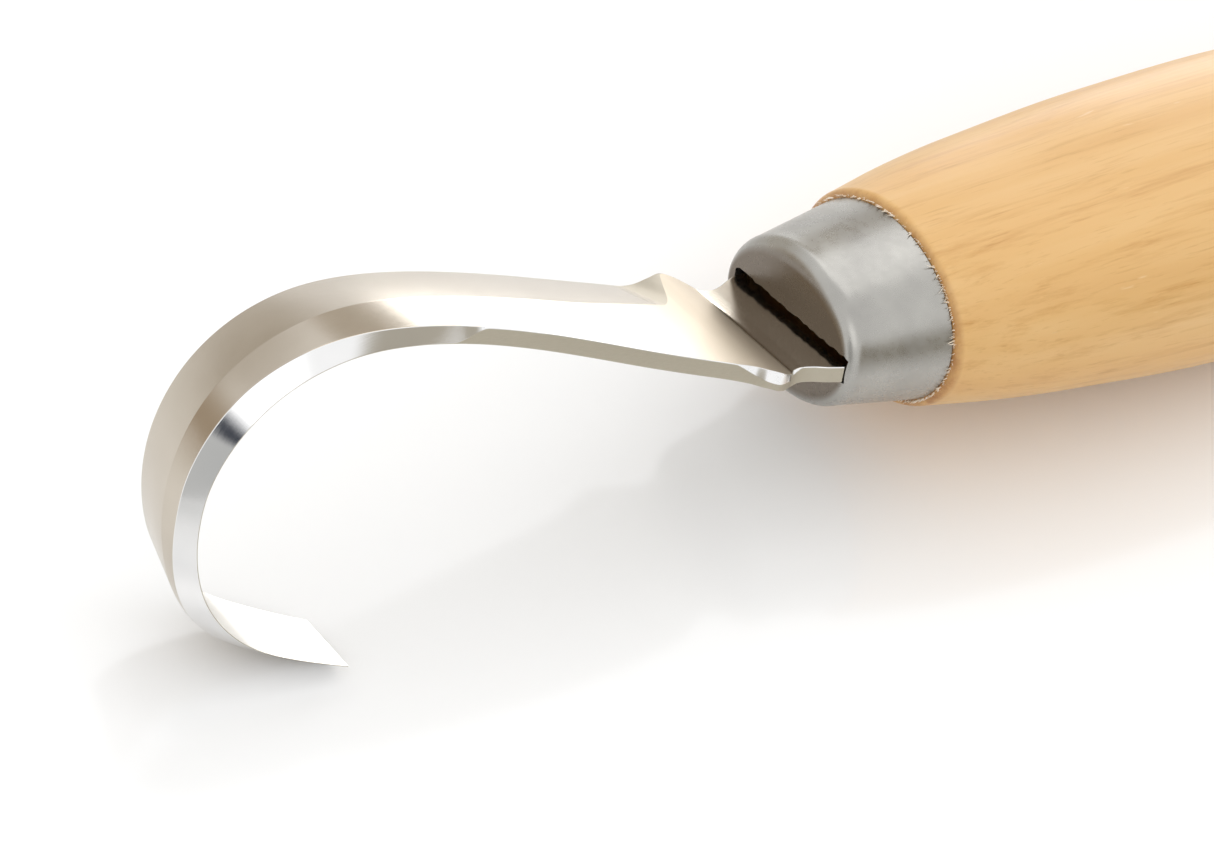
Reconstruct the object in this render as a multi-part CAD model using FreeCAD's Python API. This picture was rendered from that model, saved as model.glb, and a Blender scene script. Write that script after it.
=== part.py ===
"""Hook knife: a bent steel strip held by a pressed ferrule in an oval birch handle.

Every size is in millimetres. While the pieces are being made, x = 0 is the front face of the
ferrule, +X runs along the handle's axis to its butt, Y is across the steel strip and Z is up.
settle() then puts the whole knife on the floor, with the origin under the middle of its box.
"""
import FreeCAD, Part
import math
import os

V = FreeCAD.Vector

# --- steel strip: the line of its inner face, as distances along it and its slope in degrees
THICKNESS = 1.35
INNER_FACE_Z = -0.8
SLOPES = [
    (0.0, 1.5), (3.9, 2.0), (5.4, 29.5), (7.2, 27.0), (10.2, 22.0), (15.3, 19.2), (21.4, 19.2),
    (27.6, 17.3), (33.7, 13.3), (39.8, 4.3), (46.0, -16.9), (52.1, -45.9), (58.2, -74.9), (64.3, -99.7),
    (69.4, -129.5), (74.5, -156.9), (79.7, -164.0),
]
STRIP_LENGTH = 79.7

# --- steel strip: how far its edges are from the handle's axis, by distance. The waist and the two
#     stamped ears are at the start. The ground side is the far one (+Y), the near one is -Y.
FAR_EDGE = [
    (0.0, 6.5), (1.2, 6.05), (2.3, 5.55), (3.2, 5.35), (4.2, 5.6), (5.6, 6.35), (7.0, 7.0), (7.9, 7.05),
    (9.5, 6.5), (11.2, 6.15), (18.4, 6.0), (28.6, 5.8), (41.9, 5.6), (51.1, 5.2), (56.2, 4.8),
    (60.3, 4.35), (65.4, 3.45), (69.4, 2.45), (74.0, 1.05), (79.7, -1.15),
]
NEAR_EDGE = [
    (0.0, 7.35), (1.2, 6.9), (2.3, 6.4), (3.2, 6.2), (4.2, 6.45), (5.6, 7.15), (6.9, 7.6), (8.2, 7.6),
    (9.5, 7.4), (11.2, 7.25), (14.3, 7.03), (18.4, 6.58), (23.5, 5.78), (28.6, 4.91), (32.7, 4.34),
    (37.8, 3.88), (44.0, 3.6), (51.0, 3.52), (57.0, 3.48), (60.3, 3.65), (65.4, 4.15), (69.4, 4.85),
    (74.0, 5.85), (79.7, 7.0),
]
FAR_BEVEL = [
    (9.0, 4.85), (14.3, 5.2), (23.5, 5.88), (32.7, 5.73), (41.9, 5.24), (51.1, 4.92), (60.3, 5.16),
    (65.4, 5.33), (69.4, 5.08), (74.0, 4.41), (79.7, 3.79),
]
NEAR_BEVEL = [
    (28.0, 0.05), (32.7, 0.12), (37.8, 0.35), (41.9, 0.62), (47.0, 1.1), (51.1, 1.33), (56.2, 1.22),
    (60.3, 1.05), (65.4, 1.25), (69.4, 2.0), (74.0, 2.3), (79.7, 1.9),
]
# height of the flat, which becomes a falling ridge where the two bevels meet before the tip
CROWN = [(65.4, THICKNESS), (69.4, 1.25), (74.0, 1.09), (79.7, 0.94)]
# the near ear's chamfer: how far down it reaches, and its width as a part of that
NEAR_EAR_DROP = [(3.0, 0.0), (5.0, 0.4), (7.4, 0.8), (8.6, 0.7), (11.5, 0.0)]
EAR_CHAMFER = 0.35
GRIND_START, GRIND_FULL = 7.7, 12.6
POLISH_START, POLISH_FULL = 33.0, 35.5
EDGE_LAND = 0.12

# --- the flat tang: its middle line's side shift, and (x, half width) from the slot to its end
TANG_SIDE = -0.42
TANG = [(0.0, 6.9), (3.0, 6.4), (14.0, 6.2), (52.0, 3.5)]
BEDDING = 0.35

# --- ferrule: half widths and half heights of its flat face, behind its rim and at its rear
FERRULE_LENGTH = 8.9
FERRULE_FACE = (7.06, 4.47)
FERRULE_FRONT = (8.07, 6.17)
FERRULE_REAR = (9.36, 7.38)
RIM_RADIUS = 1.5
WALL = 0.8
SLOT_CLEARANCE = 0.12
SLOT_GAP_ABOVE = 0.75

# --- handle: distances from the ferrule's rear edge, with half width and half height
HANDLE_LENGTH = 106.0
SHOULDER_FACE = (9.45, 7.45)
HANDLE_PROFILE = [
    (0.7, 10.1, 8.05), (6.0, 11.3, 8.45), (13.0, 12.35, 8.85), (27.0, 13.35, 9.95),
    (42.0, 13.6, 10.5), (60.0, 13.1, 10.2), (80.0, 11.9, 9.35), (94.0, 10.7, 8.5), (101.0, 9.8, 7.9),
]
# an oval of fullness 2 is an ellipse, and a fuller one is flatter on its broad sides
HANDLE_FULLNESS = [(0.7, 2.0), (13.0, 2.24), (27.0, 2.32), (42.0, 2.38), (80.0, 2.3), (101.0, 2.05)]
BUTT_FACE = (6.2, 4.8)

# --- how far the knife leans to its ground side where it lies at rest, in degrees: the ground bevel
#     at the hook's end is then flat on the floor
LEAN = 13.2

# --- how finely the curved forms are divided, and how far a cutting form reaches past its piece
EAR_STEP, EAR_STEPS, HOOK_STEPS = 0.3, 42, 50
ROUNDING_STEPS = 5
HANDLE_STEPS = 28
BARREL_POINTS = 32
TANG_OVERLAP = 0.3
PAST = 20.0


def along(table, s):
    """The value of a table of (distance, value) rows at s, on a smooth curve through the rows."""
    if s <= table[0][0]:
        return table[0][1]
    if s >= table[-1][0]:
        return table[-1][1]
    steps = [(b[1] - a[1]) / (b[0] - a[0]) for a, b in zip(table, table[1:])]
    slopes = [2 * p * q / (p + q) if p * q > 0 else 0.0 for p, q in zip(steps, steps[1:])]
    slopes = steps[:1] + slopes + steps[-1:]
    i = max(k for k in range(len(steps)) if table[k][0] <= s)
    span = table[i + 1][0] - table[i][0]
    u = (s - table[i][0]) / span
    h1 = 1 - u * u * (3 - 2 * u)
    return (
        h1 * table[i][1]
        + (1 - h1) * table[i + 1][1]
        + span * (u * (1 - u) ** 2 * slopes[i] - u * u * (1 - u) * slopes[i + 1])
    )


def rise(s, start, end):
    """0 before start, 1 after end, and a smooth step between them."""
    u = min(max((s - start) / (end - start), 0.0), 1.0)
    return u * u * (3 - 2 * u)


def inner_line(steps=1560):
    """Points (x, z, slope) of the strip's inner face from the ferrule to the tip."""
    ds = STRIP_LENGTH / steps
    x, z, points = 0.0, INNER_FACE_Z, []
    for k in range(steps + 1):
        points.append((x, z, math.radians(along(SLOPES, k * ds))))
        middle = math.radians(along(SLOPES, (k + 0.5) * ds))
        x -= math.cos(middle) * ds
        z += math.sin(middle) * ds
    return points


LINE = inner_line()


def place(s, y, height):
    """A point of the strip: s along it, y across it, height above its inner face."""
    k = min(max(s, 0.0), STRIP_LENGTH) / STRIP_LENGTH * (len(LINE) - 1)
    i = min(int(k), len(LINE) - 2)
    x, z, slope = (a + (b - a) * (k - i) for a, b in zip(LINE[i], LINE[i + 1]))
    return V(x + height * math.sin(slope) - min(s, 0.0), y, z + height * math.cos(slope))


def section(s):
    """The six corners of the strip's section at s, in order round it."""
    far, near = along(FAR_EDGE, s), -along(NEAR_EDGE, s)
    ground = rise(s, GRIND_START, GRIND_FULL)
    polished = rise(s, POLISH_START, POLISH_FULL)
    far_top = THICKNESS + (EDGE_LAND - THICKNESS) * ground
    drop = along(NEAR_EAR_DROP, s)
    near_top = THICKNESS - drop + (EDGE_LAND - THICKNESS) * polished
    far_ridge = far - EDGE_LAND - (along(FAR_BEVEL, s) - EDGE_LAND) * ground
    near_ridge = near + along(NEAR_BEVEL, s) + EAR_CHAMFER * drop
    crown = along(CROWN, s)
    return [
        place(s, near, 0), place(s, far, 0), place(s, far, far_top - EDGE_LAND / 2),
        place(s, far_ridge, crown), place(s, near_ridge, crown),
        place(s, near, near_top - EDGE_LAND / 2),
    ]


def stations():
    """Distances of the strip's sections: close together at the ears, wider in the long bends."""
    ears = [EAR_STEP * k for k in range(EAR_STEPS + 1)]
    rest = STRIP_LENGTH - ears[-1]
    return ears + [ears[-1] + rest * k / HOOK_STEPS for k in range(1, HOOK_STEPS + 1)]


def strip():
    """The bent strip from the slot to the tip, with its ears and both its bevels."""
    distances = stations()
    rings = [section(s) for s in distances]
    edges = []
    for corner in range(6):
        curve = Part.BSplineCurve()
        curve.interpolate(Points=[ring[corner] for ring in rings], Parameters=distances)
        edges.append(curve.toShape())
    faces = [Part.makeRuledSurface(edges[k], edges[(k + 1) % 6], 1) for k in range(6)]
    for ring in (rings[0], rings[-1]):
        faces.append(Part.Face(Part.makePolygon(ring + ring[:1])))
    shell = Part.Shell(faces)
    shell.sewShape()
    solid = Part.Solid(shell)
    if solid.Volume < 0:
        solid.reverse()
    return solid


def plate(outline, bottom, thickness):
    """A flat plate round the tang's middle line, from its (x, half width) outline."""
    corners = [V(x, TANG_SIDE + half, bottom) for x, half in outline]
    corners += [V(x, TANG_SIDE - half, bottom) for x, half in reversed(outline)]
    return Part.Face(Part.makePolygon(corners + corners[:1])).extrude(V(0, 0, thickness))


def blade():
    """The strip and its tang, which starts just outside the slot so that the two are one piece."""
    outline = [(-TANG_OVERLAP, TANG[0][1] - 0.4)] + TANG
    return strip().fuse(plate(outline, INNER_FACE_Z, THICKNESS)).removeSplitter()


def oval(x, half_width, half_height):
    """An oval wire across the handle's axis."""
    centre = V(x, 0, 0)
    ellipse = Part.Ellipse(V(x, half_width, 0), V(x, 0, half_height), centre)
    return Part.Wire(ellipse.toShape())


def barrel(x, half_width, half_height, fullness):
    """An oval wire of the handle, as a smooth curve through points round it."""
    points = []
    for k in range(BARREL_POINTS):
        c, s = math.cos(2 * math.pi * k / BARREL_POINTS), math.sin(2 * math.pi * k / BARREL_POINTS)
        reach = (abs(c) ** fullness + abs(s) ** fullness) ** (-1 / fullness)
        points.append(V(x, half_width * reach * c, half_height * reach * s))
    curve = Part.BSplineCurve()
    curve.interpolate(Points=points, PeriodicFlag=True)
    return Part.Wire(curve.toShape())


def rounded(x, outer, face, depth, shape=oval):
    """Oval sections of a rounded edge: from its flat face at x to its full size at x + depth."""
    rings = []
    for k in range(ROUNDING_STEPS + 1):
        turn = math.pi / 2 * k / ROUNDING_STEPS
        sizes = [f + (o - f) * math.sin(turn) for o, f in zip(outer, face)]
        rings.append(shape(x + depth * (1 - math.cos(turn)), *sizes))
    return rings


def cap(inset):
    """The ferrule's outer form, or its hollow when it is inset by the wall."""
    sizes = (FERRULE_FACE, FERRULE_FRONT, FERRULE_REAR)
    face, front, rear = ([v - inset for v in size] for size in sizes)
    rim = Part.makeLoft(rounded(inset, front, face, RIM_RADIUS), True, False)
    skirt = Part.makeLoft([oval(inset + RIM_RADIUS, *front), oval(FERRULE_LENGTH, *rear)], True)
    return rim.fuse(skirt).removeSplitter()


def slot():
    """The opening for the tang through the ferrule's face, with a gap above the steel."""
    outline = [(-1.0, TANG[0][1] + SLOT_CLEARANCE), (3.0, TANG[0][1] + SLOT_CLEARANCE)]
    height = THICKNESS + SLOT_CLEARANCE + SLOT_GAP_ABOVE
    return plate(outline, INNER_FACE_Z - SLOT_CLEARANCE, height)


def ferrule():
    return cap(0).cut(cap(WALL)).cut(slot())


def bedding_form():
    """The slot in the wood: the hidden tang's outline with the bedding's margin round it."""
    outline = [(x, half + BEDDING) for x, half in TANG[1:]]
    outline[-1] = (TANG[-1][0] + BEDDING, outline[-1][1])
    return plate(outline, INNER_FACE_Z - BEDDING, THICKNESS + 2 * BEDDING)


def tang_bedding():
    return bedding_form().cut(plate(TANG, INNER_FACE_Z, THICKNESS))


def handle_rings():
    """Oval sections of the handle between its two rounded ends."""
    widths = [(x, half_width) for x, half_width, _ in HANDLE_PROFILE]
    heights = [(x, half_height) for x, _, half_height in HANDLE_PROFILE]
    first, last = widths[0][0], widths[-1][0]
    rings = []
    for k in range(HANDLE_STEPS + 1):
        x = first + (last - first) * k / HANDLE_STEPS
        sizes = along(widths, x), along(heights, x), along(HANDLE_FULLNESS, x)
        rings.append(barrel(FERRULE_LENGTH + x, *sizes))
    return rings


def handle_end(x, outer, face, depth, fullness):
    """One rounded end of the handle, from its flat face."""
    sections = rounded(x, outer, face, depth, lambda *size: barrel(*size, fullness))
    return Part.makeLoft(sections, True, True)


def handle():
    """The birch handle with its shoulder, its butt and the tenon that fills the ferrule."""
    x0, x_end = FERRULE_LENGTH, FERRULE_LENGTH + HANDLE_LENGTH
    first, last = HANDLE_PROFILE[0], HANDLE_PROFILE[-1]
    shoulder = handle_end(x0, first[1:], SHOULDER_FACE, first[0], HANDLE_FULLNESS[0][1])
    body = Part.makeLoft(handle_rings(), True, True)
    depth = last[0] - HANDLE_LENGTH
    butt = handle_end(x_end, last[1:], BUTT_FACE, depth, HANDLE_FULLNESS[-1][1])
    tenon = cap(WALL).cut(Part.makeBox(TANG[1][0], 2 * PAST, 2 * PAST, V(0, -PAST, -PAST)))
    return shoulder.multiFuse([body, butt, tenon]).cut(bedding_form()).removeSplitter()


def turned(shape, pitch):
    """A copy of shape, leaned to its ground side and then pitched by some degrees, hook upwards."""
    copy = shape.copy()
    copy.rotate(V(0, 0, 0), V(1, 0, 0), -LEAN)
    copy.rotate(V(0, 0, 0), V(0, 1, 0), pitch)
    return copy


def settle(shapes):
    """Pitches the leaned knife until hook and handle both touch the floor, which is z = 0, and
    puts the origin under the middle of the whole knife's box."""
    low, high = -6.0, 6.0
    for _ in range(14):
        pitch = (low + high) / 2
        lowest = [turned(shapes[n], pitch).optimalBoundingBox().ZMin for n in ("blade", "handle")]
        if lowest[0] > lowest[1]:
            high = pitch
        else:
            low = pitch
    placed = {name: turned(shape, pitch) for name, shape in shapes.items()}
    box = Part.makeCompound(list(placed.values())).optimalBoundingBox()
    shift = V(-box.Center.x, -box.Center.y, -box.ZMin)
    for shape in placed.values():
        shape.translate(shift)
    print("pitch", round(pitch, 3), "shift", shift)
    return placed


def main():
    os.makedirs("parts", exist_ok=True)
    shapes = settle({
        "blade": blade(),
        "ferrule": ferrule(),
        "handle": handle(),
        "tang_bedding": tang_bedding(),
    })
    for name, shape in shapes.items():
        print(name, shape.isValid(), len(shape.Solids), round(shape.Volume, 1), shape.BoundBox)
        shape.exportStep(f"parts/{name}.step")


main()
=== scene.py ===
"""Looks of the hook knife: the bent steel strip, the pressed ferrule and the oiled birch handle.

Sizes in the tables are in millimetres, in the handle's own frame: x = 0 is the ferrule's front
face, +X runs to the butt, Y is across the strip. seat() takes them to the CAD's frame, in metres.
"""
import math
import random

import bmesh
import bpy
from mathutils import Matrix, Vector

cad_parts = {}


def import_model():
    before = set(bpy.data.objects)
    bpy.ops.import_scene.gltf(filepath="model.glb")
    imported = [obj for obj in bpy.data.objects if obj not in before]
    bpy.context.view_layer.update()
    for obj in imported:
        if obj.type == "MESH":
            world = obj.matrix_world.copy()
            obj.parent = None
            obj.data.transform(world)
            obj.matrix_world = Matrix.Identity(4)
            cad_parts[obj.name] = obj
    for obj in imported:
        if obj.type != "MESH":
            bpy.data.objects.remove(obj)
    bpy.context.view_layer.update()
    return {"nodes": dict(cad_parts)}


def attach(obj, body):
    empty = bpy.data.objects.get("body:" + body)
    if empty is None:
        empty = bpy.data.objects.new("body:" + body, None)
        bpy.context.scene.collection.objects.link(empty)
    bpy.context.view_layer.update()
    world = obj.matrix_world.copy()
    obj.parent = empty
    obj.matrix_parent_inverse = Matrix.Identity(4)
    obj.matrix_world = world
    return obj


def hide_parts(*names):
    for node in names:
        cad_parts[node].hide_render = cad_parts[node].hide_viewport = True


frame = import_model()

# --- where the handle's frame lies in the CAD's frame
PITCH = math.radians(1.464)
LEAN = math.radians(13.2)
SHIFT = Vector((-30.4410, 0.001, 12.3889))
TURN = Matrix.Rotation(PITCH, 3, "Y") @ Matrix.Rotation(-LEAN, 3, "X")
MM = 0.001
# --- the camera, in the handle's frame, and its roll in degrees
CAMERA_PLACE = (-160.277, -174.5, 148.727)
CAMERA_AIM = (-20.97, -6.54, 0.0)
CAMERA_ROLL = 19.365
LENS, SENSOR = 109.32, 36.0

# --- steel strip: the line of its inner face, as distances along it and its slope in degrees
THICKNESS = 1.35
INNER_FACE_Z = -0.8
STRIP_LENGTH = 79.7
SLOPES = [
    (0.0, 1.5), (3.9, 2.0), (5.4, 29.5), (7.2, 27.0), (10.2, 22.0), (15.3, 19.2), (21.4, 19.2),
    (27.6, 17.3), (33.7, 13.3), (39.8, 4.3), (46.0, -16.9), (52.1, -45.9), (58.2, -74.9), (64.3, -99.7),
    (69.4, -129.5), (74.5, -156.9), (79.7, -164.0),
]
# how far the strip's edges are from the handle's axis, with the waist and the two ears
FAR_EDGE = [
    (0.0, 6.5), (1.2, 6.05), (2.3, 5.55), (3.2, 5.35), (4.2, 5.6), (5.6, 6.35), (7.0, 7.0), (7.9, 7.05),
    (9.5, 6.5), (11.2, 6.15), (18.4, 6.0), (28.6, 5.8), (41.9, 5.6), (51.1, 5.2), (56.2, 4.8),
    (60.3, 4.35), (65.4, 3.45), (69.4, 2.45), (74.0, 1.05), (79.7, -1.15),
]
NEAR_EDGE = [
    (0.0, 7.35), (1.2, 6.9), (2.3, 6.4), (3.2, 6.2), (4.2, 6.45), (5.6, 7.15), (6.9, 7.6), (8.2, 7.6),
    (9.5, 7.4), (11.2, 7.25), (14.3, 7.03), (18.4, 6.58), (23.5, 5.78), (28.6, 4.91), (32.7, 4.34),
    (37.8, 3.88), (44.0, 3.6), (51.0, 3.52), (57.0, 3.48), (60.3, 3.65), (65.4, 4.15), (69.4, 4.85),
    (74.0, 5.85), (79.7, 7.0),
]
# widths of the two bevels
FAR_BEVEL = [
    (9.0, 4.85), (14.3, 5.2), (23.5, 5.88), (32.7, 5.73), (41.9, 5.24), (51.1, 4.92), (60.3, 5.16),
    (65.4, 5.33), (69.4, 5.08), (74.0, 4.41), (79.7, 3.79),
]
NEAR_BEVEL = [
    (28.0, 0.05), (32.7, 0.12), (37.8, 0.35), (41.9, 0.62), (47.0, 1.1), (51.1, 1.33), (56.2, 1.22),
    (60.3, 1.05), (65.4, 1.25), (69.4, 2.0), (74.0, 2.3), (79.7, 1.9),
]
# height of the flat, which becomes a falling ridge where the two bevels meet before the tip
CROWN = [(65.4, THICKNESS), (69.4, 1.25), (74.0, 1.09), (79.7, 0.94)]
# the near ear's chamfer: how far down it reaches, and its width as a part of that
NEAR_EAR_DROP = [(3.0, 0.0), (5.0, 0.4), (7.4, 0.8), (8.6, 0.7), (11.5, 0.0)]
EAR_CHAMFER = 0.35
GRIND_START, GRIND_FULL = 7.7, 12.6
POLISH_START, POLISH_FULL = 33.0, 35.5
EDGE_LAND = 0.12
# the flat tang: its middle line's side shift, and (x, half width) from the slot to its end
TANG_SIDE = -0.42
TANG = [(0.0, 6.9), (3.0, 6.4), (14.0, 6.2), (52.0, 3.5)]
BEDDING = 0.35

# --- ferrule and handle: half widths and half heights
# the ferrule's flat face, then behind its rim, then at its rear
FERRULE_LENGTH = 8.9
FERRULE_FACE = (7.06, 4.47)
FERRULE_FRONT = (8.07, 6.17)
FERRULE_REAR = (9.36, 7.38)
RIM_RADIUS = 1.5
WALL = 0.8
SLOT_CLEARANCE = 0.12
SLOT_GAP_ABOVE = 0.75
# distances from the ferrule's rear edge, with half width and half height
HANDLE_LENGTH = 106.0
SHOULDER_FACE = (9.45, 7.45)
HANDLE_PROFILE = [
    (0.7, 10.1, 8.05), (6.0, 11.3, 8.45), (13.0, 12.35, 8.85), (27.0, 13.35, 9.95),
    (42.0, 13.6, 10.5), (60.0, 13.1, 10.2), (80.0, 11.9, 9.35), (94.0, 10.7, 8.5), (101.0, 9.8, 7.9),
]
# an oval of fullness 2 is an ellipse, and a fuller one is flatter on its broad sides
HANDLE_FULLNESS = [(0.7, 2.0), (13.0, 2.24), (27.0, 2.32), (42.0, 2.38), (80.0, 2.3), (101.0, 2.05)]
BUTT_FACE = (6.2, 4.8)

# --- how finely the curved forms are divided
ROUND_POINTS = 144
TANG_STATIONS = [-52.0, -48.0, -40.0, -30.0, -20.0, -14.0, -8.0, -3.0, -2.0, -1.0, -0.5, -0.1]
EAR_STEP, EAR_STEPS, HOOK_STEPS = 0.1, 124, 270
BODY_STEPS, BUTT_STEPS, SHOULDER_STEPS, RIM_STEPS, SKIRT_STEPS = 120, 14, 8, 12, 12
# --- small edges and fits
CORNER = 0.05
FERRULE_LIP = 0.12
TENON_FIT = 0.999
# the slot's punched upper edge: its steps, how far it strays, and how much lower its ends are
SLOT_STEPS, SLOT_RAG, SLOT_END_DROP = 34, (-0.09, 0.07), 0.25
# torn fibres: how many, their distance from the ferrule, and how deep they start in the wood
FIBRES, FIBRE_GAP, FIBRE_ROOT = 420, 0.05, 0.35
# the meshes' maps hold a hundredth of each distance in millimetres
MAP_SCALE = 0.01
# how far the painted reflection stretches on the strip fade in
REFLECTION_PATCH_FADE = 0.8


def along(table, s):
    """The value of a table of (distance, value) rows at s, on a smooth curve through the rows."""
    if s <= table[0][0]:
        return table[0][1]
    if s >= table[-1][0]:
        return table[-1][1]
    steps = [(b[1] - a[1]) / (b[0] - a[0]) for a, b in zip(table, table[1:])]
    slopes = [2 * p * q / (p + q) if p * q > 0 else 0.0 for p, q in zip(steps, steps[1:])]
    slopes = steps[:1] + slopes + steps[-1:]
    i = max(k for k in range(len(steps)) if table[k][0] <= s)
    span = table[i + 1][0] - table[i][0]
    u = (s - table[i][0]) / span
    h1 = 1 - u * u * (3 - 2 * u)
    return (
        h1 * table[i][1]
        + (1 - h1) * table[i + 1][1]
        + span * (u * (1 - u) ** 2 * slopes[i] - u * u * (1 - u) * slopes[i + 1])
    )


def rise(s, start, end):
    """0 before start, 1 after end, and a smooth step between them."""
    u = min(max((s - start) / (end - start), 0.0), 1.0)
    return u * u * (3 - 2 * u)


def seat(point):
    """A point of the handle's frame, in millimetres, as a point of the CAD's frame, in metres."""
    return (TURN @ Vector(point) + SHIFT) * MM


# ---------------------------------------------------------------- mesh helpers
def link(mesh, name):
    """An object for the mesh, in the scene."""
    piece = bpy.data.objects.new(name, mesh)
    bpy.context.scene.collection.objects.link(piece)
    return piece


def ring_mesh(name, rings, bands=None, marks=None):
    """A closed mesh through rings of points, with its two end rings filled.

    bands holds the material index of each face round a ring; marks holds each ring's distance
    along the piece, which becomes the mesh's map together with the distance round the ring.
    """
    count = len(rings[0])
    verts = [seat(p) for ring in rings for p in ring]
    faces = []
    slots = []
    for r in range(len(rings) - 1):
        for k in range(count):
            n = (k + 1) % count
            a, b = r * count, (r + 1) * count
            faces.append((a + k, a + n, b + n, b + k))
            slots.append(bands[k] if bands else 0)
    faces.append(tuple(range(count - 1, -1, -1)))
    faces.append(tuple((len(rings) - 1) * count + k for k in range(count)))
    slots += [0, 0]
    mesh = bpy.data.meshes.new(name)
    mesh.from_pydata(verts, [], faces)
    mesh.polygons.foreach_set("material_index", slots)
    if marks:
        uv = mesh.uv_layers.new(name="line")
        around = []
        for ring in rings:
            total, row = 0.0, [0.0]
            for k in range(count):
                total += (Vector(ring[(k + 1) % count]) - Vector(ring[k])).length
                row.append(total)
            around.append(row)
        for polygon in mesh.polygons:
            ids = [mesh.loops[i].vertex_index for i in polygon.loop_indices]
            wraps = any(v % count == 0 for v in ids) and any(v % count == count - 1 for v in ids)
            for i in polygon.loop_indices:
                v = mesh.loops[i].vertex_index
                r, k = divmod(v, count)
                turn = count if wraps and k == 0 and len(ids) == 4 else k
                uv.data[i].uv = (marks[r] * MAP_SCALE, around[r][turn] * MAP_SCALE)
    mesh.update()
    return mesh


def outwards(mesh):
    """Turns every face of a closed mesh outwards."""
    work = bmesh.new()
    work.from_mesh(mesh)
    bmesh.ops.recalc_face_normals(work, faces=work.faces)
    work.to_mesh(mesh)
    work.free()


def smooth(mesh, degrees):
    """Smooth shading, with every edge sharper than the angle left crisp."""
    mesh.polygons.foreach_set("use_smooth", [True] * len(mesh.polygons))
    mesh.set_sharp_from_angle(angle=math.radians(degrees))
    mesh.update()


def cut(piece, tool):
    """Takes the tool's volume out of the piece, and removes the tool."""
    modifier = piece.modifiers.new("cut", "BOOLEAN")
    modifier.operation = "DIFFERENCE"
    modifier.solver = "EXACT"
    modifier.object = tool
    graph = bpy.context.evaluated_depsgraph_get()
    result = bpy.data.meshes.new_from_object(piece.evaluated_get(graph))
    piece.modifiers.clear()
    piece.data = result
    bpy.data.objects.remove(tool)


def prism(name, outline, x0, x1):
    """A prism along the handle's axis with a (y, z) outline."""
    rings = [[(x, y, z) for y, z in outline] for x in (x0, x1)]
    mesh = ring_mesh(name, rings)
    outwards(mesh)
    return link(mesh, name)


# ---------------------------------------------------------------- blade
def inner_line(steps=1560):
    """Points (x, z, slope) of the strip's inner face from the ferrule to the tip."""
    ds = STRIP_LENGTH / steps
    x, z, points = 0.0, INNER_FACE_Z, []
    for k in range(steps + 1):
        points.append((x, z, math.radians(along(SLOPES, k * ds))))
        middle = math.radians(along(SLOPES, (k + 0.5) * ds))
        x -= math.cos(middle) * ds
        z += math.sin(middle) * ds
    return points


LINE = inner_line()


def place(s, y, height):
    """A point of the strip: s along it, y across it, height above its inner face."""
    if s < 0:
        return (-s, y, INNER_FACE_Z + height)
    k = min(s, STRIP_LENGTH) / STRIP_LENGTH * (len(LINE) - 1)
    i = min(int(k), len(LINE) - 2)
    x, z, slope = (a + (b - a) * (k - i) for a, b in zip(LINE[i], LINE[i + 1]))
    return (x + height * math.sin(slope), y, z + height * math.cos(slope))


def section(s):
    """The six corners (y, height) of the strip's section at s, in order round it."""
    if s < 0:
        half = along(TANG, -s)
        far, near = TANG_SIDE + half, TANG_SIDE - half
    else:
        far, near = along(FAR_EDGE, s), -along(NEAR_EDGE, s)
    ground = rise(s, GRIND_START, GRIND_FULL)
    polished = rise(s, POLISH_START, POLISH_FULL)
    far_top = THICKNESS + (EDGE_LAND - THICKNESS) * ground
    drop = along(NEAR_EAR_DROP, s)
    near_top = THICKNESS - drop + (EDGE_LAND - THICKNESS) * polished
    far_ridge = far - EDGE_LAND - (along(FAR_BEVEL, s) - EDGE_LAND) * ground
    near_ridge = near + along(NEAR_BEVEL, s) + EAR_CHAMFER * drop
    crown = along(CROWN, s)
    return [
        (near, 0), (far, 0), (far, far_top - EDGE_LAND / 2),
        (far_ridge, crown), (near_ridge, crown), (near, near_top - EDGE_LAND / 2),
    ]


def softened(corners, radius):
    """The section with each corner cut by a small rounded edge of three points."""
    points = []
    for k, corner in enumerate(corners):
        corner = Vector(corner)
        before, after = Vector(corners[k - 1]) - corner, Vector(corners[(k + 1) % 6]) - corner
        a = corner + before.normalized() * min(radius, before.length * 0.3)
        b = corner + after.normalized() * min(radius, after.length * 0.3)
        points += [a, (a + b + corner * 2) / 4, b]
    return points


def blade_piece():
    """The strip from the end of its tang to the tip, with a material for each of its faces."""
    ears_end = EAR_STEP * EAR_STEPS
    stations = TANG_STATIONS + [EAR_STEP * k for k in range(EAR_STEPS)]
    for k in range(HOOK_STEPS + 1):
        stations.append(ears_end + (STRIP_LENGTH - ears_end) * k / HOOK_STEPS)
    rings = []
    for s in stations:
        rings.append([place(s, p.x, p.y) for p in softened(section(s), CORNER)])
    ground, flat, polished, inner, sheared = range(5)
    sides = (inner, sheared, ground, flat, polished, sheared)
    # three points to a corner: the face before a corner's first point is the side before it
    bands = [sides[k // 3 - 1 if k % 3 == 0 else k // 3] for k in range(len(rings[0]))]
    mesh = ring_mesh("blade_strip", rings, bands, stations)
    outwards(mesh)
    smooth(mesh, degrees=7)
    return link(mesh, "blade_strip")


# ---------------------------------------------------------------- ferrule and handle
def oval(x, half_width, half_height, fullness=2.0):
    """Points round an oval; fullness 2 is an ellipse, and more is flatter on its broad sides."""
    points = []
    for k in range(ROUND_POINTS):
        c, s = math.cos(2 * math.pi * k / ROUND_POINTS), math.sin(2 * math.pi * k / ROUND_POINTS)
        reach = (abs(c) ** fullness + abs(s) ** fullness) ** (-1 / fullness)
        points.append((x, half_width * reach * c, half_height * reach * s))
    return points


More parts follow.
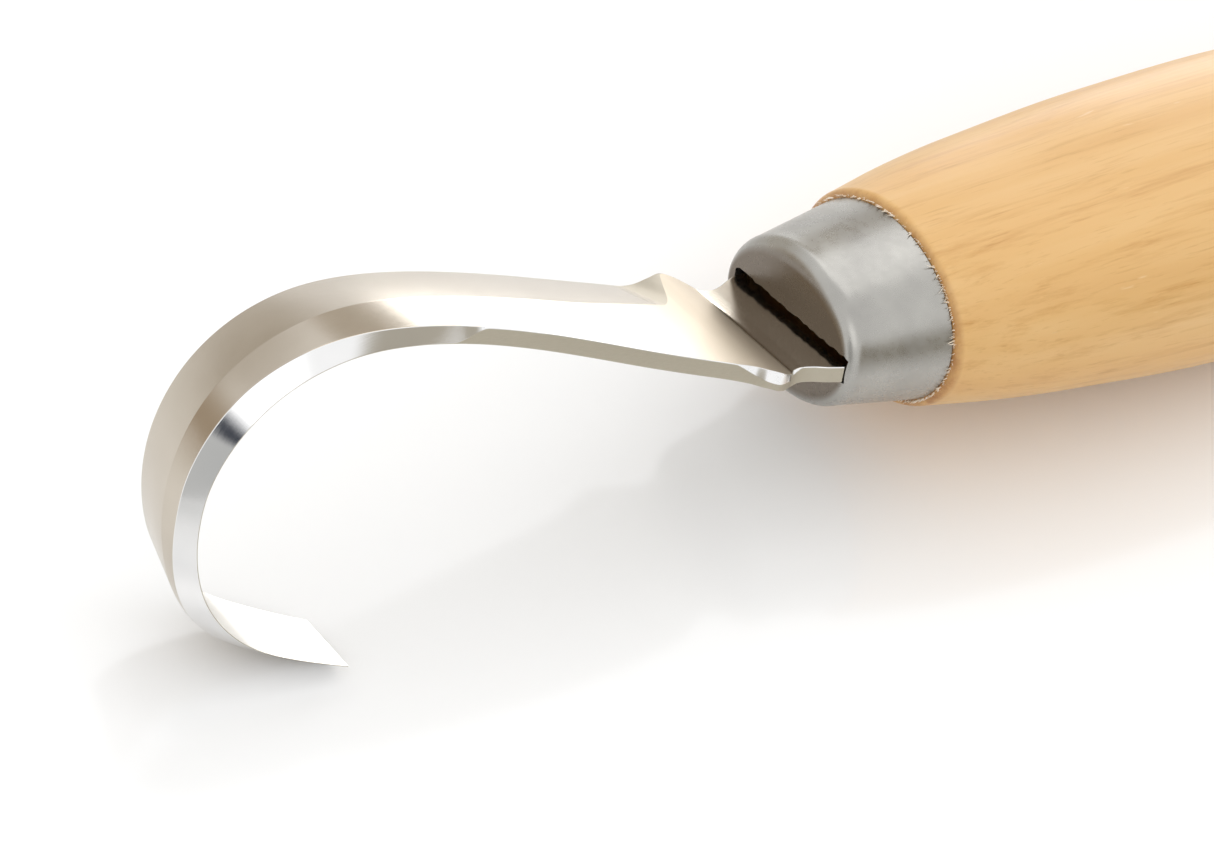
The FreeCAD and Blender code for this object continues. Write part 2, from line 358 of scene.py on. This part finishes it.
def rounded(x, outer, face, depth, steps, fullness=2.0):
    """Oval sections of a rounded edge: from its flat face at x to its full size at x + depth."""
    rings = []
    for k in range(steps + 1):
        turn = math.pi / 2 * k / steps
        sizes = [f + (o - f) * math.sin(turn) for o, f in zip(outer, face)]
        rings.append(oval(x + depth * (1 - math.cos(turn)), *sizes, fullness))
    return rings


def cap_rings(inset):
    """Oval sections of the ferrule's outer form, or of its hollow when inset by the wall."""
    sizes = (FERRULE_FACE, FERRULE_FRONT, FERRULE_REAR)
    face, front, rear = ([v - inset for v in size] for size in sizes)
    rings = rounded(inset, front, face, RIM_RADIUS, RIM_STEPS)
    x0 = inset + RIM_RADIUS
    lip = FERRULE_LIP if inset == 0 else 0.0
    for k in range(1, SKIRT_STEPS + 1):
        u = k / SKIRT_STEPS
        x = x0 + (FERRULE_LENGTH - lip - x0) * u
        rings.append(oval(x, *(f + (r - f) * u for f, r in zip(front, rear))))
    if lip:
        rings.append(oval(FERRULE_LENGTH - lip * 0.3, rear[0] - lip * 0.3, rear[1] - lip * 0.3))
        rings.append(oval(FERRULE_LENGTH, rear[0] - lip, rear[1] - lip))
    return rings


def ferrule_piece():
    """The pressed cap: its outer form and its hollow as one skin, with the punched, ragged slot."""
    rings = cap_rings(0) + list(reversed(cap_rings(WALL)))
    mesh = ring_mesh("ferrule_cap", rings)
    outwards(mesh)
    piece = link(mesh, "ferrule_cap")
    half = TANG[0][1] + SLOT_CLEARANCE
    low, high = INNER_FACE_Z - SLOT_CLEARANCE, INNER_FACE_Z + THICKNESS + SLOT_GAP_ABOVE
    draw = random.Random(5)
    outline = [(TANG_SIDE - half, low), (TANG_SIDE + half, low)]
    for k in range(SLOT_STEPS + 1):
        y = TANG_SIDE + half - 2 * half * k / SLOT_STEPS
        rag = draw.uniform(*SLOT_RAG) - (SLOT_END_DROP if k in (0, SLOT_STEPS) else 0.0)
        outline.append((y, high + rag))
    cut(piece, prism("slot_tool", outline, -1.0, 3.0))
    smooth(piece.data, degrees=28)
    return piece


def handle_rings():
    """Oval sections from the tenon's front, through the shoulder and the barrel, to the butt."""
    widths = [(x, half_width) for x, half_width, _ in HANDLE_PROFILE]
    heights = [(x, half_height) for x, _, half_height in HANDLE_PROFILE]
    first, last = HANDLE_PROFILE[0], HANDLE_PROFILE[-1]
    x0, x_end = FERRULE_LENGTH, FERRULE_LENGTH + HANDLE_LENGTH
    front = TANG[1][0]
    u = (front - WALL - RIM_RADIUS) / (FERRULE_LENGTH - WALL - RIM_RADIUS)
    sizes = [f + (r - f) * u - WALL for f, r in zip(FERRULE_FRONT, FERRULE_REAR)]
    rings = [oval(front, *sizes)]
    for ring in cap_rings(WALL):
        if ring[0][0] > front:
            rings.append([(x, y * TENON_FIT, z * TENON_FIT) for x, y, z in ring])
    rings += rounded(x0 + 0.01, first[1:], SHOULDER_FACE, first[0] - 0.01, SHOULDER_STEPS)
    for k in range(1, BODY_STEPS + 1):
        x = first[0] + (last[0] - first[0]) * k / BODY_STEPS
        rings.append(oval(x0 + x, along(widths, x), along(heights, x), along(HANDLE_FULLNESS, x)))
    depth = last[0] - HANDLE_LENGTH
    end = rounded(x_end, last[1:], BUTT_FACE, depth, BUTT_STEPS, HANDLE_FULLNESS[-1][1])
    rings += reversed(end[:-1])
    return rings


def handle_piece():
    """The birch handle, with the slot that the bedding fills cut out of its front."""
    mesh = ring_mesh("handle_birch", handle_rings())
    outwards(mesh)
    piece = link(mesh, "handle_birch")
    outline = [(x, half + BEDDING) for x, half in TANG[1:]]
    outline[0] = (TANG[1][0] - 1.0, outline[0][1])
    outline[-1] = (TANG[-1][0] + BEDDING, outline[-1][1])
    loop = [(x, TANG_SIDE + half) for x, half in outline]
    loop += [(x, TANG_SIDE - half) for x, half in reversed(outline)]
    low, high = INNER_FACE_Z - BEDDING, INNER_FACE_Z + THICKNESS + BEDDING
    tool_mesh = ring_mesh("bedding_tool", [[(x, y, z) for x, y in loop] for z in (low, high)])
    outwards(tool_mesh)
    cut(piece, link(tool_mesh, "bedding_tool"))
    smooth(piece.data, degrees=30)
    return piece


def fibre_piece():
    """Torn wood fibres that stand out of the shoulder, round the ferrule's rear edge."""
    draw = random.Random(11)
    verts, faces = [], []
    half_width, half_height = (half + FIBRE_GAP for half in FERRULE_REAR)

    def at(angle, x, out):
        return (x, (half_width + out) * math.cos(angle), (half_height + out) * math.sin(angle))

    for _ in range(FIBRES):
        turn = draw.uniform(0, 2 * math.pi)
        start = draw.uniform(-0.05, 0.35)
        reach = draw.uniform(0.15, 0.6) * (1.5 if draw.random() < 0.15 else 1.0)
        width = draw.uniform(0.05, 0.22)
        lift = draw.uniform(0.02, 0.3)
        x = FERRULE_LENGTH + start
        slant = draw.uniform(-0.5, 0.5)
        half = width / 2 / half_width
        lean = slant * reach / half_width
        base = [at(turn - half, x, 0.0), at(turn + half, x, 0.0), at(turn, x, 0.1 + 0.1 * lift)]
        root = [(p[0] + FIBRE_ROOT, p[1], p[2]) for p in base]
        tip = at(turn + lean, x - reach, lift)
        n = len(verts)
        verts += [seat(p) for p in base + root + [tip]]
        faces += [(n, n + 1, n + 6), (n + 1, n + 2, n + 6), (n + 2, n, n + 6)]
        faces += [(n, n + 3, n + 4, n + 1), (n + 1, n + 4, n + 5, n + 2), (n + 2, n + 5, n + 3, n)]
        faces.append((n + 3, n + 5, n + 4))
    mesh = bpy.data.meshes.new("torn_fibres")
    mesh.from_pydata(verts, [], faces)
    outwards(mesh)
    return link(mesh, "torn_fibres")


# ---------------------------------------------------------------- materials
class Nodes:
    """A short way to add nodes to a material and to join them."""

    def __init__(self, name):
        self.material = bpy.data.materials.new(name)
        self.material.use_nodes = True
        self.tree = self.material.node_tree
        self.shader = self.tree.nodes["Principled BSDF"]

    def add(self, kind, inputs=None, **settings):
        node = self.tree.nodes.new(kind)
        for key, value in settings.items():
            setattr(node, key, value)
        for key, value in (inputs or {}).items():
            self.put(value, node.inputs[key])
        return node

    def put(self, value, socket):
        if isinstance(value, bpy.types.NodeSocket):
            self.tree.links.new(value, socket)
        elif isinstance(value, bpy.types.Node):
            self.tree.links.new(value.outputs[0], socket)
        else:
            socket.default_value = value

    def set(self, **values):
        for key, value in values.items():
            self.put(value, self.shader.inputs[key.replace("_", " ")])

    def noise(self, vector, scale, detail=3.0, rough=0.5):
        node = self.add("ShaderNodeTexNoise", {"Vector": vector, "Scale": scale})
        node.inputs["Detail"].default_value = detail
        node.inputs["Roughness"].default_value = rough
        return node.outputs["Fac"]

    def span(self, value, low, high, to_low, to_high):
        names = ("Value", "From Min", "From Max", "To Min", "To Max")
        return self.add("ShaderNodeMapRange", dict(zip(names, (value, low, high, to_low, to_high))))

    def ramp(self, value, stops):
        node = self.add("ShaderNodeValToRGB", {"Fac": value})
        elements = node.color_ramp.elements
        while len(elements) < len(stops):
            elements.new(0.5)
        for element, (position, colour) in zip(elements, stops):
            element.position = position
            element.color = (*colour, 1)
        return node

    def mix(self, factor, a, b, kind="MIX"):
        node = self.add("ShaderNodeMix", data_type="RGBA", blend_type=kind)
        self.put(factor, node.inputs[0])
        self.put(a if not isinstance(a, tuple) else (*a, 1), node.inputs[6])
        self.put(b if not isinstance(b, tuple) else (*b, 1), node.inputs[7])
        return node.outputs[2]

    def bump(self, height, strength, distance):
        inputs = {"Height": height, "Strength": strength, "Distance": distance}
        return self.add("ShaderNodeBump", inputs)

    def mapped(self, kind, scale, rotation=(0, 0, 0)):
        source = self.add("ShaderNodeTexCoord").outputs[kind]
        node = self.add("ShaderNodeMapping", {"Vector": source})
        node.inputs["Scale"].default_value = scale
        node.inputs["Rotation"].default_value = rotation
        return node.outputs[0]


def strip_steel(name, colour, dark, roughness, spread, streaks, painted_reflection=None):
    """Steel with fine lines along the strip, and soft clouds of roughness.

    The last argument paints a reflection into a stretch near the ferrule: a darker tan colour that
    stands in for reflected shade, with more roughness. It gives where the stretch starts, where it
    begins to fade and where it ends, in millimetres along the strip, then its painted colour and its
    roughness.
    """
    m = Nodes(name)
    line = m.mapped("UV", (9.0, 900.0, 1.0))
    fine = m.noise(line, streaks, 5.0, 0.65)
    cloud = m.noise(m.mapped("Object", (1.0, 1.0, 1.0)), 160.0, 3.0, 0.55)
    tone = m.span(cloud, 0.3, 0.7, 0.0, 1.0)
    base = m.mix(tone.outputs[0], colour, dark)
    rough = m.span(fine, 0.25, 0.75, roughness - spread, roughness + spread).outputs[0]
    # painted reflection: a darker tan stretch of colour stands in for the shade that the strip reflects
    # there
    if painted_reflection:
        start, fading, end, painted_dark_reflection, patch_roughness = painted_reflection
        source = m.add("ShaderNodeTexCoord").outputs["UV"]
        s = m.add("ShaderNodeSeparateXYZ", {"Vector": source}).outputs["X"]
        into = m.span(s, start * MAP_SCALE, (start + REFLECTION_PATCH_FADE) * MAP_SCALE, 0.0, 1.0)
        out_of = m.span(s, fading * MAP_SCALE, end * MAP_SCALE, 1.0, 0.0)
        inputs = {0: into.outputs[0], 1: out_of.outputs[0]}
        reflection_mask = m.add("ShaderNodeMath", inputs, operation="MULTIPLY").outputs[0]
        base = m.mix(reflection_mask, base, painted_dark_reflection)
        rough = m.span(reflection_mask, 0.0, 1.0, rough, patch_roughness).outputs[0]
    m.set(Base_Color=base, Metallic=1.0)
    m.set(Roughness=rough, Normal=m.bump(fine, 0.12, 0.00002))
    return m.material


def edge_steel():
    """The sheared edge of the strip, duller than its faces."""
    m = Nodes("steel_sheared_edge")
    rag = m.noise(m.mapped("UV", (30.0, 260.0, 1.0)), 6.0, 5.0, 0.7)
    colour = m.ramp(rag, [(0.25, (0.43, 0.39, 0.31)), (0.75, (0.54, 0.50, 0.41))])
    m.set(Base_Color=colour, Metallic=1.0)
    m.set(Roughness=m.span(rag, 0.2, 0.8, 0.34, 0.55), Normal=m.bump(rag, 0.35, 0.00004))
    return m.material


def ferrule_steel():
    """Satin pressed stainless: faint draw lines along the axis, small scuffs, and a painted dark
    reflection on the front face.
    """
    m = Nodes("ferrule_satin_steel")
    axis = (0.0, -PITCH, 0.0)
    drawn = m.noise(m.mapped("Object", (35.0, 900.0, 900.0), axis), 2.2, 4.0, 0.6)
    scuff = m.noise(m.mapped("Object", (1.0, 1.0, 1.0)), 900.0, 5.0, 0.7)
    cloud = m.noise(m.mapped("Object", (1.0, 1.0, 1.0)), 220.0, 3.0, 0.5)
    tone = m.ramp(cloud, [(0.3, (0.36, 0.35, 0.33)), (0.7, (0.46, 0.45, 0.42))])
    # painted reflection: faces turned to the front get a dark brown colour that stands in for what they
    # reflect
    front = m.add("ShaderNodeNewGeometry").outputs["Normal"]
    facing = m.add("ShaderNodeSeparateXYZ", {"Vector": front}).outputs["X"]
    painted_dark_reflection = m.span(facing, -0.8, -0.99, 0.0, 1.0)
    colour = m.mix(painted_dark_reflection.outputs[0], tone.outputs[0], (0.21, 0.18, 0.15))
    m.set(Base_Color=colour, Metallic=1.0)
    rough = m.span(scuff, 0.3, 0.7, 0.22, 0.36)
    grain = m.mix(0.5, drawn, scuff)
    m.set(Roughness=rough, Normal=m.bump(grain, 0.18, 0.00003))
    return m.material


def birch():
    """Oiled birch: long pale and tan streaks, fine pores along the axis, a darker front edge."""
    m = Nodes("birch_oiled")
    axis = (0.0, PITCH, 0.0)
    broad = m.noise(m.mapped("Object", (4.0, 200.0, 200.0), axis), 1.0, 4.0, 0.55)
    lines = m.noise(m.mapped("Object", (8.0, 1000.0, 1000.0), axis), 1.0, 5.0, 0.7)
    fibres = m.noise(m.mapped("Object", (90.0, 3600.0, 3600.0), axis), 1.0, 3.0, 0.6)
    base = m.ramp(broad, [
        (0.25, (0.66, 0.37, 0.125)), (0.45, (0.72, 0.435, 0.165)), (0.6, (0.75, 0.475, 0.20)),
        (0.8, (0.79, 0.54, 0.26)),
    ])
    streak = m.ramp(lines, [(0.30, (0.86, 0.78, 0.66)), (0.5, (1.0, 1.0, 1.0))])
    colour = m.mix(1.0, base.outputs[0], streak.outputs[0], "MULTIPLY")
    pores = m.ramp(fibres, [(0.30, (0.82, 0.74, 0.62)), (0.42, (1.0, 1.0, 1.0))])
    colour = m.mix(0.55, colour, pores.outputs[0], "MULTIPLY")
    flecks = m.noise(m.mapped("Object", (160.0, 1100.0, 1100.0), axis), 1.3, 2.0, 0.5)
    light = m.span(flecks, 0.72, 0.8, 0.0, 0.4)
    colour = m.mix(light.outputs[0], colour, (0.95, 0.80, 0.55))
    spot = m.mapped("Object", (1.0, 1.0, 1.0), axis)
    x = m.add("ShaderNodeSeparateXYZ", {"Vector": spot}).outputs["X"]
    edge_x = seat((FERRULE_LENGTH, 0, 0)).x
    band = m.span(x, edge_x + 0.0004, edge_x + 0.0011, 1.0, 0.0)
    torn = m.span(m.noise(m.mapped("Object", (1, 1, 1)), 700.0, 4.0, 0.7), 0.35, 0.6, 0.4, 1.0)
    darken = m.add("ShaderNodeMath", {0: band.outputs[0], 1: torn.outputs[0]}, operation="MULTIPLY")
    colour = m.mix(darken.outputs[0], colour, (0.42, 0.19, 0.06))
    m.set(Base_Color=colour, Roughness=m.span(lines, 0.3, 0.7, 0.34, 0.46))
    m.set(Coat_Weight=0.15, Coat_Roughness=0.25, Specular_IOR_Level=0.4)
    m.set(Subsurface_Weight=0.06, Subsurface_Radius=(0.002, 0.001, 0.0005))
    m.set(Normal=m.bump(m.mix(0.5, lines, fibres), 0.12, 0.00005))
    return m.material


def fibre_wood():
    """The torn fibres, paler and drier than the oiled wood."""
    m = Nodes("torn_fibre_wood")
    tone = m.noise(m.mapped("Object", (1, 1, 1)), 1500.0, 2.0, 0.5)
    m.set(Base_Color=m.ramp(tone, [(0.3, (0.74, 0.58, 0.40)), (0.6, (0.94, 0.86, 0.74))]))
    m.set(Roughness=m.span(tone, 0.2, 0.8, 0.6, 0.85))
    return m.material


def adhesive():
    """The cured adhesive round the tang, for the one piece that keeps its CAD mesh."""
    m = Nodes("cured_adhesive")
    tone = m.noise(m.mapped("Object", (1, 1, 1)), 500.0, 4.0, 0.6)
    m.set(Base_Color=m.ramp(tone, [(0.3, (0.42, 0.32, 0.19)), (0.7, (0.58, 0.47, 0.30))]))
    m.set(Roughness=m.span(tone, 0.2, 0.8, 0.45, 0.7), Normal=m.bump(tone, 0.3, 0.0001))
    return m.material


def floor_material():
    """A white, slightly glossy table top."""
    m = Nodes("white_glossy_table")
    tone = m.noise(m.mapped("Object", (1, 1, 1)), 6.0, 2.0, 0.5)
    m.set(Base_Color=m.ramp(tone, [(0.3, (0.93, 0.93, 0.93)), (0.7, (0.95, 0.95, 0.945))]))
    m.set(Roughness=m.span(tone, 0.2, 0.8, 0.1, 0.13), Specular_IOR_Level=0.65)
    return m.material


# ---------------------------------------------------------------- stage
# direction, how far from it (in degrees) the colour is full and where it ends, and the colour
SIDES = [
    ((-0.12, 0.99, 0.05), 16, 36, (0.62, 0.58, 0.52)),
    ((-0.72, 0.69, 0.04), 8, 24, (0.50, 0.42, 0.33)),
    ((0.44, 0.80, 0.41), 4, 15, (0.62, 0.57, 0.50)),
    ((0.72, 0.69, 0.03), 9, 15, (4.2, 4.2, 4.2)),
    ((0.40, -0.90, 0.14), 10, 23, (0.42, 0.385, 0.32)),
    ((-0.70, -0.68, 0.20), 8, 22, (0.50, 0.50, 0.49)),
    ((-0.58, -0.64, 0.50), 4, 9, (0.05, 0.055, 0.07)),
    ((-0.30, -0.64, 0.71), 10, 22, (1.5, 1.5, 1.5)),
]
WORLD_STRENGTH = 1.08
LAMP_PLACE, LAMP_TARGET = (0.35, 0.45, 0.9), (0, 0, 0.01)
LAMP_SIZE, LAMP_POWER = (0.9, 0.7), 1.3
TABLE_HALF = 4.0


def floor_piece():
    """The table top, at the height of the floor."""
    mesh = bpy.data.meshes.new("table")
    half = TABLE_HALF
    corners = [(-half, -half, 0), (half, -half, 0), (half, half, 0), (-half, half, 0)]
    mesh.from_pydata([Vector(c) for c in corners], [], [(0, 1, 2, 3)])
    mesh.materials.append(floor_material())
    return link(mesh, "table")


def world():
    """White surroundings with soft warm dark sides and two bright ones."""
    space = bpy.data.worlds.new("studio")
    bpy.context.scene.world = space
    space.use_nodes = True
    tree = space.node_tree
    background = tree.nodes["Background"]
    background.inputs["Strength"].default_value = WORLD_STRENGTH
    ray = tree.nodes.new("ShaderNodeTexCoord").outputs["Generated"]
    mix_out = None
    for direction, inner, outer, tint in SIDES:
        dot = tree.nodes.new("ShaderNodeVectorMath")
        dot.operation = "DOT_PRODUCT"
        tree.links.new(ray, dot.inputs[0])
        dot.inputs[1].default_value = Vector(direction).normalized()
        fade = tree.nodes.new("ShaderNodeMapRange")
        fade.interpolation_type = "SMOOTHSTEP"
        tree.links.new(dot.outputs["Value"], fade.inputs["Value"])
        fade.inputs["From Min"].default_value = math.cos(math.radians(outer))
        fade.inputs["From Max"].default_value = math.cos(math.radians(inner))
        mix = tree.nodes.new("ShaderNodeMix")
        mix.data_type = "RGBA"
        tree.links.new(fade.outputs[0], mix.inputs[0])
        if mix_out is None:
            mix.inputs[6].default_value = (1.0, 1.0, 1.0, 1.0)
        else:
            tree.links.new(mix_out, mix.inputs[6])
        mix.inputs[7].default_value = (*tint, 1)
        mix_out = mix.outputs[2]
    tree.links.new(mix_out, background.inputs["Color"])


def area_light(name, position, target, size, power):
    """A rectangular white lamp, aimed at its target."""
    data = bpy.data.lights.new(name, "AREA")
    data.shape = "RECTANGLE"
    data.size, data.size_y = size
    data.energy = power
    lamp = bpy.data.objects.new(name, data)
    bpy.context.scene.collection.objects.link(lamp)
    lamp.location = position
    lamp.rotation_euler = (Vector(target) - Vector(position)).to_track_quat("-Z", "Y").to_euler()


def camera():
    """The camera, aimed at a point under the waist and rolled about its own line of sight."""
    data = bpy.data.cameras.new("view")
    data.sensor_width = SENSOR
    data.lens = LENS
    data.clip_start = 0.01
    view = bpy.data.objects.new("view", data)
    bpy.context.scene.collection.objects.link(view)
    view.location = seat(CAMERA_PLACE)
    aim = (seat(CAMERA_AIM) - seat(CAMERA_PLACE)).to_track_quat("-Z", "Y").to_matrix()
    roll = Matrix.Rotation(math.radians(CAMERA_ROLL), 3, "Z")
    view.rotation_euler = (aim @ roll).to_euler()
    bpy.context.scene.camera = view


def finish_piece(piece, materials, node):
    """Gives a piece its materials and its body, and hides the CAD node that it stands for."""
    for material in materials:
        piece.data.materials.append(material)
    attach(piece, "root")
    if node:
        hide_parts(node)


def blade_materials():
    """The strip's five materials, in the order of the numbers in blade_piece."""
    # painted reflections: tan stretches at the far ear's grind run-out and along the neck stand in for
    # the shaded floor that these faces reflect
    run_out_reflection = (7.4, 12.0, 13.5, (0.38, 0.34, 0.27), 0.4)
    neck_reflection = (4.5, 9.5, 26.0, (0.55, 0.475, 0.375), 0.5)
    return [
        strip_steel(
            "steel_ground_bevel", (0.57, 0.515, 0.44), (0.52, 0.465, 0.39), 0.22, 0.05, 3.0, run_out_reflection
        ),
        strip_steel(
            "steel_satin_flat", (0.58, 0.525, 0.45), (0.53, 0.475, 0.40), 0.16, 0.05, 2.4, neck_reflection
        ),
        strip_steel(
            "steel_polished_bevel", (0.86, 0.855, 0.85), (0.80, 0.80, 0.80), 0.07, 0.02, 2.0
        ),
        strip_steel("steel_inner_face", (0.80, 0.78, 0.74), (0.74, 0.715, 0.67), 0.3, 0.05, 2.6),
        edge_steel(),
    ]


def build():
    finish_piece(blade_piece(), blade_materials(), "blade")
    finish_piece(ferrule_piece(), [ferrule_steel()], "ferrule")
    finish_piece(handle_piece(), [birch()], "handle")
    finish_piece(fibre_piece(), [fibre_wood()], None)
    bedding = frame["nodes"]["tang_bedding"]
    bedding.data.materials.clear()
    bedding.data.materials.append(adhesive())
    floor_piece()
    world()
    area_light("softbox_top", LAMP_PLACE, LAMP_TARGET, LAMP_SIZE, LAMP_POWER)
    camera()
    bpy.context.scene.view_settings.view_transform = "Standard"


build()
